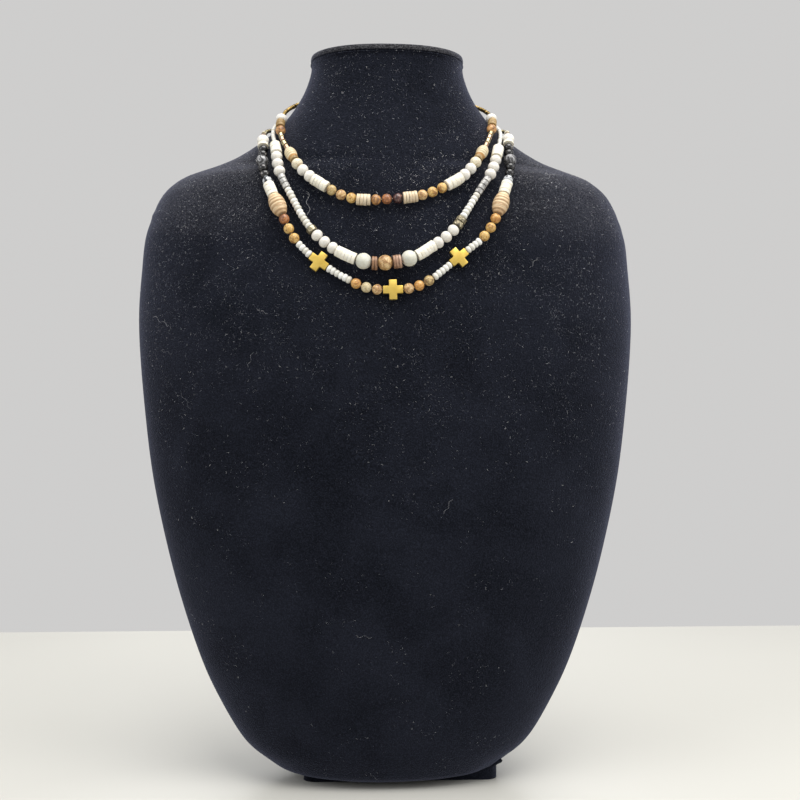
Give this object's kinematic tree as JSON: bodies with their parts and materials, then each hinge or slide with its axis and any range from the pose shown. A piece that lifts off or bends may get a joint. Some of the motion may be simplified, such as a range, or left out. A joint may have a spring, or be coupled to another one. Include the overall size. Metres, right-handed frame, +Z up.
{
  "type": "multi strand bead necklace on a velvet neck bust",
  "caption": "Necklace of short, middle and long strands of stone, shell and gold beads with crosses, all on one clasp, worn by a dark velvet neck bust.",
  "frame": {"origin": "on the floor that the foot block stands on, under the middle of the shoulder line", "axes": "+Z up, -Y to the front of the bust, +X to the right of a viewer in front of it"},
  "size_m": [0.27, 0.1149, 0.3935],
  "materials": {
    "banded_stone": "satin, with bands across",
    "black_stone": "gloss",
    "brown_wood": "satin",
    "cream_stone": "satin",
    "dark_stone": "gloss",
    "frosted_stone": "frosted",
    "gold": "satin",
    "gold_seed": "satin",
    "grey_stone": "satin",
    "jasper": "satin, mottled tan, orange and brown",
    "shell": "satin",
    "thread": "matte",
    "velvet": "matte pile",
    "white_seed": "gloss",
    "white_stone": "chalky satin"
  },
  "bodies": {
    "root": {"bust_body": "velvet", "bust_cap": "velvet", "bust_foot": "velvet", "clasp": "gold", "choker_thread": "thread", "middle_thread": "thread", "outer_thread": "thread", "choker_jasper_1": "jasper", "choker_cream_barrel_1": "cream_stone", "choker_jasper_2": "jasper", "choker_jasper_3": "jasper", "choker_jasper_4": "jasper", "choker_jasper_5": "jasper", "choker_jasper_6": "jasper", "choker_jasper_7": "jasper", "choker_jasper_8": "jasper", "choker_jasper_9": "jasper", "choker_jasper_10": "jasper", "choker_cream_barrel_2": "cream_stone", "choker_jasper_11": "jasper", "middle_frosted_round_1": "frosted_stone", "middle_centre_jasper_1": "jasper", "middle_frosted_round_2": "frosted_stone", "outer_big_white_round_1": "white_stone", "outer_dark_round_1": "dark_stone", "outer_banded_barrel_1": "banded_stone", "outer_jasper_1": "jasper", "outer_jasper_2": "jasper", "outer_jasper_3": "jasper", "outer_cross_1": "gold", "outer_jasper_4": "jasper", "outer_jasper_5": "jasper", "outer_jasper_6": "jasper", "outer_cross_2": "gold", "outer_jasper_7": "jasper", "outer_jasper_8": "jasper", "outer_jasper_9": "jasper", "outer_cross_3": "gold", "outer_jasper_10": "jasper", "outer_jasper_11": "jasper", "outer_jasper_12": "jasper", "outer_banded_barrel_2": "banded_stone", "outer_dark_round_2": "dark_stone", "outer_big_white_round_2": "white_stone", "choker_white_rounds": "white_stone", "choker_shell_discs": "shell", "choker_brown_discs": "brown_wood", "choker_gold_beads": "gold", "choker_nape_seeds": "gold_seed", "middle_white_rounds": "white_stone", "middle_shell_discs": "shell", "middle_brown_discs": "brown_wood", "middle_grey_beads": "grey_stone", "middle_white_seeds": "white_seed", "outer_shell_discs": "shell", "outer_black_rounds": "black_stone", "outer_gold_beads": "gold", "outer_white_seeds": "white_seed", "outer_nape_seeds": "gold_seed"}
  },
  "joints": []
}
